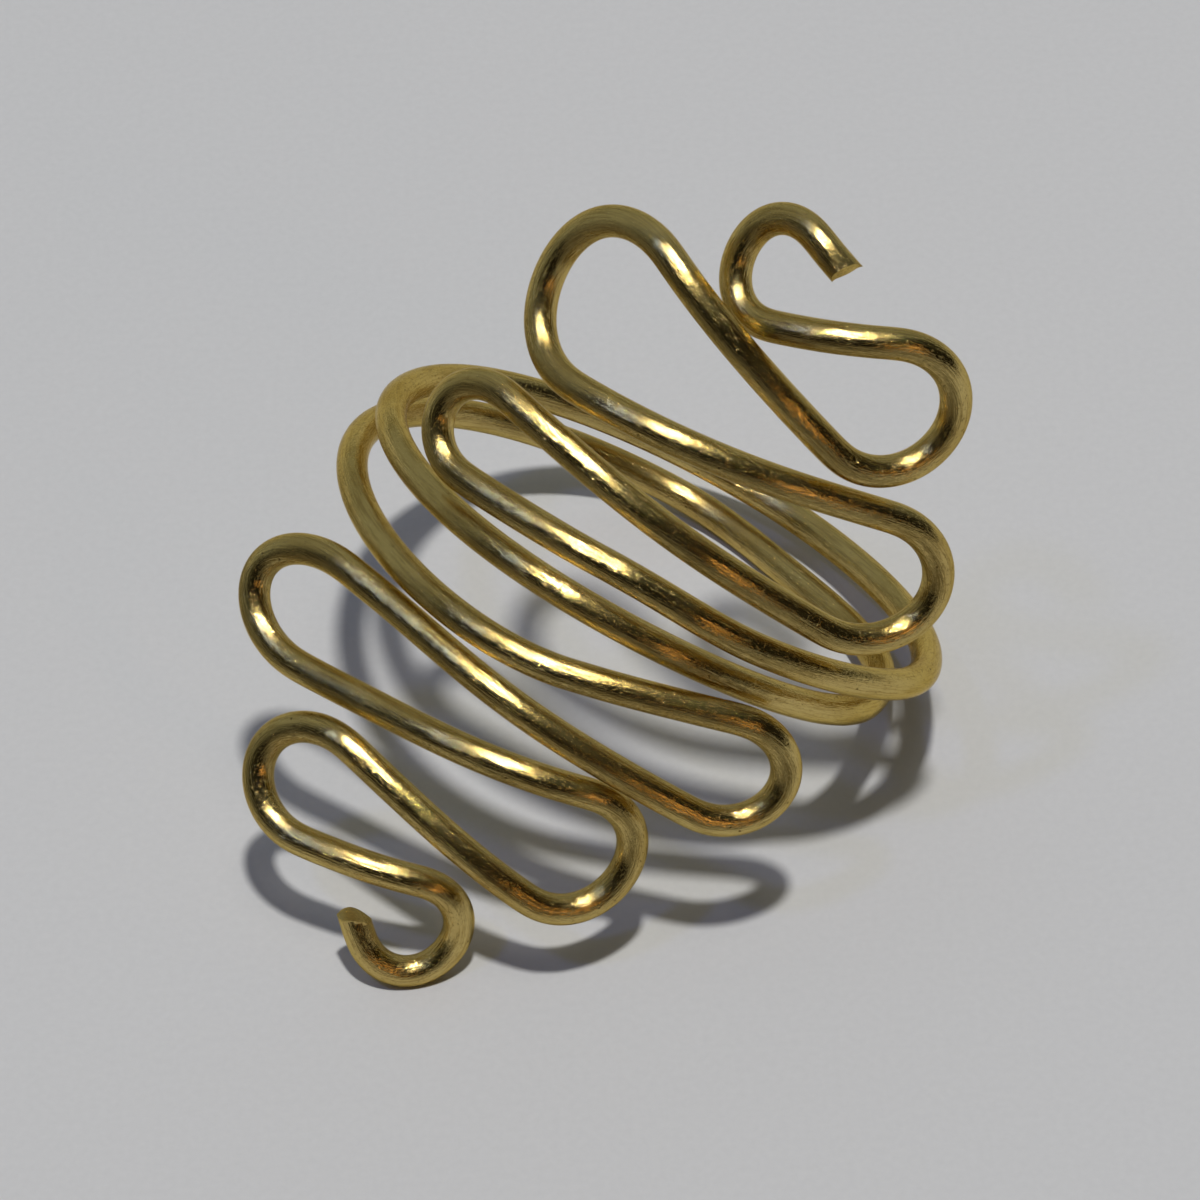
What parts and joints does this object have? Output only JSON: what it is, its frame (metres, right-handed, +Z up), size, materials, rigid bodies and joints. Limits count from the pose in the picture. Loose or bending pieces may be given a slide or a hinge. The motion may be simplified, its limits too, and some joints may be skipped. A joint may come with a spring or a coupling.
{
  "type": "wire finger ring",
  "caption": "Springy finger ring bent from round brass wire: a wound band with zigzag loops climbing to either side and a small hook at each cut end.",
  "frame": {"origin": "on the table, under the middle of the ring's outline as it lies in the picture", "axes": "+Z up from the table, +X to the viewer's right, +Y away from the viewer; the finger's axis leans to (0.478, 0.423, 0.770)"},
  "size_m": [0.0228, 0.0214, 0.0222],
  "materials": {
    "brass_wire": "polished drawn wire, lightly scratched"
  },
  "bodies": {
    "lower_end": {"lower_hook": "brass_wire", "lower_zigzag": "brass_wire"},
    "winding": {"winding": "brass_wire"},
    "upper_end": {"upper_zigzag": "brass_wire", "upper_hook": "brass_wire"}
  },
  "joints": [
    {"name": "spread", "type": "slide", "parent": "lower_end", "child": "winding", "axis": [0.4783, 0.4227, 0.7698], "range_m": [0, 0.002], "stiffness_N_per_m": 365, "deforming": ["winding"]},
    {"name": "twist", "type": "hinge", "parent": "winding", "child": "upper_end", "pos_m": [0.00137, 0.00201, 0.00642], "axis": [0.4783, 0.4227, 0.7698], "range_deg": [-15, 15], "stiffness_Nm_per_rad": 0.042, "deforming": ["winding"]}
  ]
}
